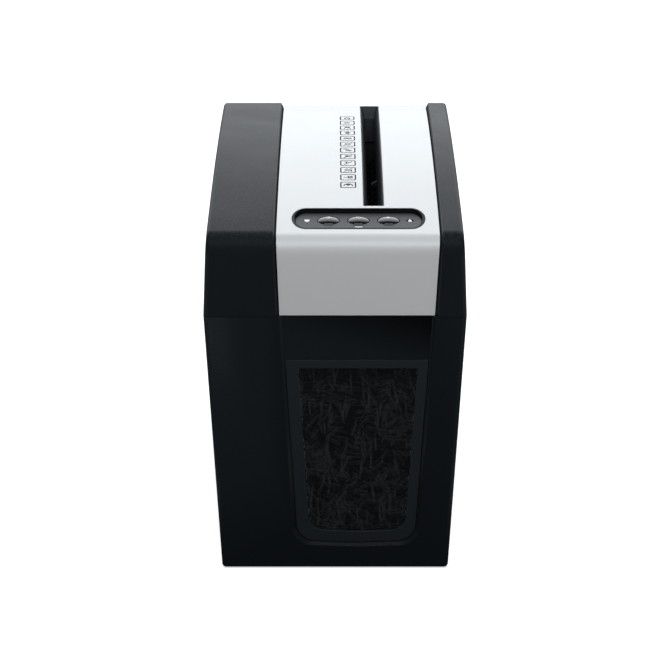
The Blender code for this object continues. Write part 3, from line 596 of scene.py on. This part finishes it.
# ---------------------------------------------------------------------------------------------------------------
# Slot liner: a black funnel pressed into the cover from below. Its walls lean in from a wide mouth to a throat
# that only lets a few sheets pass, and its two ends slope so that paper slides in.
# The liner is black plastic coloured lighter than the housing's black: the extra lightness is painted light on the
# funnel walls.
slot_black_with_painted_light = surface("slot liner plastic", (0.0290, 0.0330, 0.0370), (0.28, 0.36), bump=0.012, dust=0.02,
                     specular=0.5)


def funnel_ring(half_x, pull, level, radius):
    """One level of the funnel; pull lengthens it at both ends, and a level near 0 is a depth under the crown."""
    y0, y1 = SLOT_FRONT_Y - pull, SLOT_BACK_Y + pull
    right = [(SLOT_X + half_x, y, 0) for y in across(30, y0 + 0.004, y1 - 0.004)]
    left = [(SLOT_X - half_x, y, 0) for _, y, _ in reversed(right)]
    corners = [(SLOT_X - half_x, y0, radius), (SLOT_X + half_x, y0, radius)] + right
    corners += [(SLOT_X + half_x, y1, radius), (SLOT_X - half_x, y1, radius)] + left
    return [(x, y, level if level > 0.1 else dome(y, COVER_SINK + 0.0002 + level)) for x, y in rounded(corners, 4)]


MOUTH_OUT, THROAT_OUT = SLOT_MOUTH / 2 + LINER_WALL, THROAT / 2 + LINER_WALL
liner = skin("slot_funnel", [
    funnel_ring(MOUTH_OUT, LINER_WALL, 0.2330, 0.0020),
    funnel_ring(MOUTH_OUT - 0.0003, LINER_WALL - 0.0003, 0.0, 0.0018),
    funnel_ring(SLOT_MOUTH / 2, 0.0, 0.0, 0.0012), funnel_ring(0.0061, -0.0003, 0.0007, 0.0012),
    funnel_ring(0.0053, -0.0012, 0.0022, 0.0011), funnel_ring(0.0047, -0.0024, 0.0042, 0.0010),
    funnel_ring(0.0041, -0.0038, 0.0075, 0.0009), funnel_ring(THROAT / 2, -0.0050, 0.2320, 0.0008),
    funnel_ring(THROAT / 2, -0.0050, 0.2135, 0.0008), funnel_ring(THROAT_OUT, -0.0036, 0.2135, 0.0012),
    funnel_ring(THROAT_OUT, -0.0036, 0.2300, 0.0012)], True)
LEVER_GAP = ((0.004, 0.216), (0.012, 0.216), (0.012, 0.230), (0.004, 0.230))
cut(liner, skin("lever_gap", [[(SLOT_X, y, z) for y, z in LEVER_GAP], [(SLOT_X + 0.01, y, z) for y, z in LEVER_GAP]]))
show(soften(liner, 0.0003, 2, 40), slot_black_with_painted_light, "head", "black_plastic", "slot_liner")

# ---------------------------------------------------------------------------------------------------------------
# Control tray: a black oval dish let into the cover, with walls that lean in to a floor coloured mid grey. Tongues of
# that floor reach into the notch of each button and keep it from turning.
tray_black = surface("gloss tray plastic", (0.0035, 0.0042, 0.0050), (0.20, 0.26), bump=0.004, dust=0.0,
                     specular=0.12)
floor_grey = surface("mid grey tray floor", (0.045, 0.048, 0.051), (0.34, 0.42), bump=0.006, dust=0.0, specular=0.22)
BUTTON_PITCH, BUTTON_R, BUTTON_Y = 0.0195, 0.0070, 0.0004
NOTCH_HALF, NOTCH_Y = 0.0030, -0.0046


def disc(radius, low, high, x, y=BUTTON_Y, steps=40):
    ring = [(x + radius * math.cos(2 * math.pi * k / steps), y + radius * math.sin(2 * math.pi * k / steps))
            for k in range(steps)]
    return lay(ring, low, high, floor_frame)


def slab(x0, y0, x1, y1, low, high, radius=0.0003):
    return lay(rounded([(x0, y0, radius), (x1, y0, radius), (x1, y1, radius), (x0, y1, radius)], 3), low, high,
               floor_frame)


tray = lay(island_outline(0.0), -0.0062, -0.0002, island_frame)
dish = skin("dish", [[(x, y, z) for x, y in island_outline(grow)] for grow, z in ((-0.0024, 0.0), (-0.0006, 0.0036))])
dish.data.transform(floor_frame)
cut(tray, dish)
grey = lay(island_outline(-0.0026), -0.0008, 0.0002, floor_frame)
for plate in (tray, grey):
    for side in (-1, 0, 1):
        cut(plate, disc(BUTTON_R + 0.0004, -0.02, 0.02, side * BUTTON_PITCH))
    for side in (-1, 1):
        cut(plate, disc(0.0025, -0.02, 0.02, side * 0.0334))
    cut(plate, slab(-0.0028, -0.0116, 0.0028, -0.0096, -0.02, 0.02))
show(soften(tray, 0.0003, 3), tray_black, "head", "black_plastic", "control_bezel")
show(soften(grey, 0.0001, 1), floor_grey, "head", "black_plastic")
for side, name in ((-1, "reverse"), (0, "power"), (1, "forward")):
    x = side * BUTTON_PITCH
    tongue = slab(x - NOTCH_HALF + 0.0003, -0.0078, x + NOTCH_HALF - 0.0003, NOTCH_Y - 0.0004, -0.0008, 0.0006)
    tongue.name = f"{name}_tongue"
    show(soften(tongue, 0.0002), floor_grey, "head", "black_plastic")

# ---------------------------------------------------------------------------------------------------------------
# Buttons: three gloss black domes on springs, notched at their front, with a sign printed on the crown: an arrow
# back, the on and off ring, an arrow forward.
gloss = surface("gloss black button", (0.0040, 0.0046, 0.0052), (0.05, 0.09), bump=0.0, dust=0.0, specular=0.6,
                coat=0.9)
white_ink = surface("white print", (0.62, 0.64, 0.66), (0.4, 0.5), bump=0.0, dust=0.0)
ARROW = ((-0.0016, 0.0), (0.0006, 0.0013), (0.0006, 0.0004), (0.0017, 0.0004), (0.0017, -0.0004), (0.0006, -0.0004),
         (0.0006, -0.0013))
POWER = [(0.0014 * math.cos(a), 0.0014 * math.sin(a)) for a in across(24, math.radians(115), math.radians(425))]
POWER += [(0.0010 * math.cos(a), 0.0010 * math.sin(a)) for a in across(24, math.radians(425), math.radians(115))]
for side, name in ((-1, "reverse"), (0, "power"), (1, "forward")):
    x = side * BUTTON_PITCH
    crown = [(BUTTON_R, -0.0052), (BUTTON_R, 0.0002)]
    crown += [(BUTTON_R * r, 0.0002 + 0.0018 * (1 - r * r) ** 0.65) for r in across(14, 0.985, 0.06)]
    cap = skin(f"{name}_cap", [[(x + r * math.cos(math.pi * k / 24), BUTTON_Y + r * math.sin(math.pi * k / 24), z)
                                for k in range(48)] for r, z in crown])
    cap.data.transform(floor_frame)
    cut(cap, slab(x - NOTCH_HALF, -0.0090, x + NOTCH_HALF, NOTCH_Y, -0.02, 0.02))
    show(soften(cap, 0.00025), gloss, f"{name}_button", "gloss_black", f"{name}_button")
    outline = POWER if side == 0 else [(-side * u, v) for u, v in ARROW][::-side]
    sign = lay([(x + 1.25 * u, BUTTON_Y + 0.0010 + 1.25 * v) for u, v in outline], 0.0016, 0.00206, floor_frame)
    sign.name = f"{name}_sign"
    show(sign, white_ink, f"{name}_button", "sign_lens")

# ---------------------------------------------------------------------------------------------------------------
# Light signs: three milky light guides that end flush with the floor, cut as a bin, a bulb and a short bar.
milky = surface("milky light guide", (0.80, 0.84, 0.88), (0.25, 0.32), bump=0.0, dust=0.0)
BIN_SIGN = ((-0.0011, -0.0019), (0.0011, -0.0019), (0.0016, 0.0009), (0.0019, 0.0009), (0.0019, 0.0016),
            (-0.0019, 0.0016), (-0.0019, 0.0009), (-0.0016, 0.0009))
BULB_SIGN = [(0.0013 * math.cos(a), -0.0008 + 0.0012 * math.sin(a))
             for a in across(20, math.radians(115), math.radians(425))]
BULB_SIGN += [(0.0005, 0.0019), (-0.0005, 0.0019)]
for x, outline, node_name in ((-0.0334, BIN_SIGN, "bin_sign_lens"), (0.0334, BULB_SIGN, "overheat_sign_lens")):
    lens = lay([(x + u, BUTTON_Y + v) for u, v in outline], -0.0050, 0.0003, floor_frame)
    lens.name = node_name.replace("_lens", "_guide")
    show(lens, milky, "head", "sign_lens", node_name)
dress(milky, "power_light_bar")

# ---------------------------------------------------------------------------------------------------------------
# Care signs: a row of twelve small framed pictograms printed in dark ink on the cover beside the slot. Each is a
# plain line drawing of its own.
ink = surface("dark print", (0.006, 0.007, 0.008), (0.7, 0.8), bump=0.0, dust=0.0, specular=0.05)
SIGN_X, SIGN_FIRST_Y, SIGN_PITCH, SIGN_HALF = 0.0088, -0.0559, 0.01386, 0.0049
GLYPH_SCALE, FRAME_STROKE, GLYPH_STROKE = 0.0038, 0.00080, 0.00075
ARC = [(0.75 * math.cos(a), -0.45 + 0.95 * math.sin(a)) for a in across(12, 0, math.pi)]
RING = [(0.45 * math.cos(a), 0.45 * math.sin(a)) for a in across(16, 0, 2 * math.pi)]
SLASH = [(-0.7, -0.7), (0.7, 0.7)]
GLYPHS = (
    [ARC, [(-0.3, 0.2), (0.3, 0.2), (0.0, -0.35), (-0.3, 0.2)]],
    [[(-0.75, 0.0), (-0.3, 0.0)], [(0.0, -0.4), (0.7, -0.4), (0.7, 0.4), (0.0, 0.4), (0.0, -0.4)],
     [(0.2, 0.0), (0.5, 0.0)]],
    [SLASH, [(-0.6, 0.1), (-0.1, 0.6)], [(0.1, -0.6), (0.6, -0.1), (0.6, -0.6)]],
    [SLASH, [(-0.6, 0.6), (0.0, 0.6)], [(-0.3, 0.6), (-0.3, 0.1)]],
    [SLASH, [(-0.4, 0.1), (0.0, 0.1), (0.0, 0.5), (-0.4, 0.5), (-0.4, 0.1)], [(0.2, -0.3), (0.7, -0.3)]],
    [[(0.6 * u, 0.6 * v) for u, v in RING], [(0.3, -0.5), (0.7, -0.1)], [(-0.7, 0.5), (-0.3, 0.7)]],
    [SLASH, [(0.1, -0.6), (0.5, -0.2)], [(-0.5, 0.2), (-0.1, 0.6)]],
    [[(0.7 * u - 0.35, 0.7 * v) for u, v in RING], [(0.7 * u + 0.35, 0.7 * v) for u, v in RING]],
    [[(0.0, 0.7), (0.45, 0.0), (0.0, -0.6), (-0.45, 0.0), (0.0, 0.7)], [(-0.15, 0.0), (0.15, 0.0)]],
    [[(-0.6, -0.5), (-0.2, 0.5), (0.1, -0.3), (0.3, 0.3), (0.6, -0.5)], [(-0.4, 0.6), (0.4, 0.6)]],
    [[(-0.6, 0.3), (0.0, 0.3)], [(0.1, 0.0), (0.6, 0.0)], [(-0.6, -0.3), (0.2, -0.3)]],
    [[(0.6 * u, 0.9 * v) for u, v in ARC], [(-0.5, -0.6), (0.5, -0.6)]])


def printed_strokes():
    """Every stroke as a flat ribbon of ink a hair's breadth thick that follows the crown of the cover."""
    verts, faces = [], []

    def stroke(line, width):
        for start, end in zip(line, line[1:]):
            a, b = Vector(start), Vector(end)
            along = (b - a).normalized()
            a, b = a - along * width * 0.4, b + along * width * 0.4
            side = Vector((-along.y, along.x)) * width / 2
            base = len(verts)
            for lift in (0.00001, 0.00005):
                for spot in (a - side, b - side, b + side, a + side):
                    verts.append((spot.x, spot.y, dome(spot.y, COVER_SINK) + lift))
            faces.append([base + k for k in (4, 5, 6, 7)])
            faces.append([base + k for k in (3, 2, 1, 0)])
            faces.extend([base + k, base + (k + 1) % 4, base + 4 + (k + 1) % 4, base + 4 + k] for k in range(4))

    for number, glyph in enumerate(GLYPHS):
        y = SIGN_FIRST_Y + number * SIGN_PITCH
        h = SIGN_HALF
        edge = rounded([(SIGN_X - h, y - h, 0.001), (SIGN_X + h, y - h, 0.001), (SIGN_X + h, y + h, 0.001),
                        (SIGN_X - h, y + h, 0.001)], 3)
        stroke(edge + [edge[0]], FRAME_STROKE)
        for line in glyph:
            stroke([(SIGN_X + u * GLYPH_SCALE, y + v * GLYPH_SCALE) for u, v in line], GLYPH_STROKE)
    data = bpy.data.meshes.new("care_signs")
    data.from_pydata(verts, [], faces)
    piece = bpy.data.objects.new("care_signs", data)
    bpy.context.scene.collection.objects.link(piece)
    return piece


show(printed_strokes(), ink, "head", "black_plastic")

# ---------------------------------------------------------------------------------------------------------------
# Shreds: short cross-cut strips of office paper, 1.2 mm wide and 8 to 13 mm long, that lie over the heap in the
# bin at every angle, each a little curled.
paper = surface("shredded paper", (0.56, 0.59, 0.62), (0.75, 0.85), bump=0.01, dust=0.0, specular=0.2)
# The core under the strips is white paper coloured near black: painted shade in the deep gaps of the heap.
painted_shade_core_paper = surface("paper core painted dark as shade", (0.020, 0.020, 0.021), (0.85, 0.95), bump=0.01, dust=0.0, specular=0.1)
SHRED_COUNT = 6800
SHRED_HALF_WIDTH = 0.0006
SHRED_HALF_LENGTH = 0.0065


def scatter_shreds():
    """Strips sunk a little into the heap's faces and held to the heap's box, with 4 mm more room on top."""
    random.seed(11)
    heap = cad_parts["shredded_paper"]
    place = heap.matrix_world
    triangles = []
    heap.data.calc_loop_triangles()
    for tri in heap.data.loop_triangles:
        corners = [place @ heap.data.vertices[i].co for i in tri.vertices]
        cross = (corners[1] - corners[0]).cross(corners[2] - corners[0])
        triangles.append((corners, cross.normalized(), cross.length / 2))
    weights = [area for _, _, area in triangles]
    middle = sum((c for corners, _, _ in triangles for c in corners), Vector()) / (3 * len(triangles))
    world_spots = [place @ v.co for v in heap.data.vertices]
    low = Vector(map(min, *world_spots)) + Vector((0.0006, 0.0006, 0.0006))
    high = Vector(map(max, *world_spots)) + Vector((-0.0006, -0.0006, 0.0040))
    core = bpy.data.meshes.new("paper_core")
    core.from_pydata([tuple(middle + (spot - middle) * 0.92) for spot in world_spots], [],
                     [list(p.vertices) for p in heap.data.polygons])
    verts, faces = [], []
    for corners, normal, _ in random.choices(triangles, weights, k=SHRED_COUNT):
        u, v = sorted((random.random(), random.random()))
        spot = corners[0] * u + corners[1] * (v - u) + corners[2] * (1 - v)
        spot = middle + (spot - middle) * (0.93 + 0.05 * random.random())
        turn = Matrix.Rotation(random.uniform(0, math.pi), 3, normal)
        lean = Matrix.Rotation(random.uniform(-0.45, 0.45), 3, turn @ normal.orthogonal())
        along = (lean @ turn @ normal.orthogonal()).normalized()
        side = along.cross(normal).normalized()
        curl = random.uniform(-0.0012, 0.0008)
        length = SHRED_HALF_LENGTH * random.uniform(0.6, 1.0)
        base = len(verts)
        for step in range(5):
            t = step / 2 - 1
            axis = spot + along * length * t + normal * curl * (1 - t * t)
            for edge in (axis - side * SHRED_HALF_WIDTH, axis + side * SHRED_HALF_WIDTH):
                verts.append(tuple(min(max(v, least), most) for v, least, most in zip(edge, low, high)))
        faces += [[base + 2 * k, base + 2 * k + 1, base + 2 * k + 3, base + 2 * k + 2] for k in range(4)]
    strips = bpy.data.meshes.new("paper_shreds")
    strips.from_pydata(verts, [], faces)
    made = [bpy.data.objects.new(data.name, data) for data in (strips, core)]
    for piece in made:
        bpy.context.scene.collection.objects.link(piece)
    return made


shreds, shred_core = scatter_shreds()
show(shreds, paper, "bin", "paper", "shredded_paper")
# Painted shade: the smaller copy of the heap under the strips, in near-black paper colour.
show(shred_core, painted_shade_core_paper, "bin", "paper")

# ---------------------------------------------------------------------------------------------------------------
# Under the head: the lower housing, the bin switch with its plunger and the paper lever, moulded in plain black
# plastic with a coarser grain than the outside.
inner_black = surface("plain black plastic", (0.013, 0.014, 0.015), (0.45, 0.55), grain=1600.0, bump=0.05)
dress(inner_black, "lower_housing", "bin_switch", "switch_plunger", "paper_sensor_lever")

# ---------------------------------------------------------------------------------------------------------------
# Feet and cord gland: soft black rubber, pushed into holes in the shell and the housing.
soft_rubber = surface("soft black rubber", (0.012, 0.012, 0.012), (0.70, 0.80), bump=0.03, specular=0.25)
dress(soft_rubber, "foot_front_left", "foot_front_right", "foot_rear_left", "foot_rear_right", "cord_gland")

# ---------------------------------------------------------------------------------------------------------------
# Cutters, drive gears and the stripper combs that clear the discs: hardened steel, blackened and oiled, and coloured
# darker still as painted shade deep in the head, which keeps discs and combs from glinting through the slot. Discs
# and gears are pressed on ground shafts.
oiled = surface("blackened steel darkened as painted shade", (0.030, 0.031, 0.034), (0.36, 0.46), metallic=0.7, grain=900.0, bump=0.01)
dress(oiled, "cutter_left_shaft", "cutter_right_shaft", "sync_gear_left", "sync_gear_right", "output_gear",
      "stripper_comb_left", "stripper_comb_right")

# ---------------------------------------------------------------------------------------------------------------
# Frame: two stamped steel plates tied by four rods, with the housing screws, the motor's pinion and the lever's
# pin, all in bright zinc-plated steel.
zinc = surface("zinc plated steel", (0.46, 0.47, 0.49), (0.28, 0.40), metallic=0.95, grain=700.0, bump=0.01)
dress(zinc, "frame_plate_front", "frame_plate_rear", "tie_rod_left", "tie_rod_right", "tie_rod_upper_left",
      "tie_rod_upper_right", "sensor_pin", "motor_pinion",
      "housing_screw_1", "housing_screw_2", "housing_screw_3", "housing_screw_4")

# ---------------------------------------------------------------------------------------------------------------
# Nylon parts: the two idler gears, their carrier, the shaft bushings and the motor's end cap, in natural nylon
# that has yellowed slightly.
nylon = surface("natural nylon", (0.62, 0.60, 0.52), (0.38, 0.48), grain=1800.0, bump=0.02, specular=0.4)
dress(nylon, "second_gear", "first_gear", "gear_carrier", "bushing_front_left", "bushing_front_right",
      "bushing_rear_left", "bushing_rear_right", "motor_end_cap")

# ---------------------------------------------------------------------------------------------------------------
# Motor: a drawn can in dark plated steel round a laminated armature.
plated = surface("dark plated steel", (0.085, 0.088, 0.092), (0.32, 0.42), metallic=0.8, grain=900.0, bump=0.01)
dress(plated, "motor_can", "motor_rotor")

# ---------------------------------------------------------------------------------------------------------------
# Circuit boards: green lacquer over woven glass, behind the buttons and beside the motor.
lacquer = surface("green board lacquer", (0.010, 0.075, 0.028), (0.22, 0.32), grain=3200.0, bump=0.01)
dress(lacquer, "control_board", "power_board")
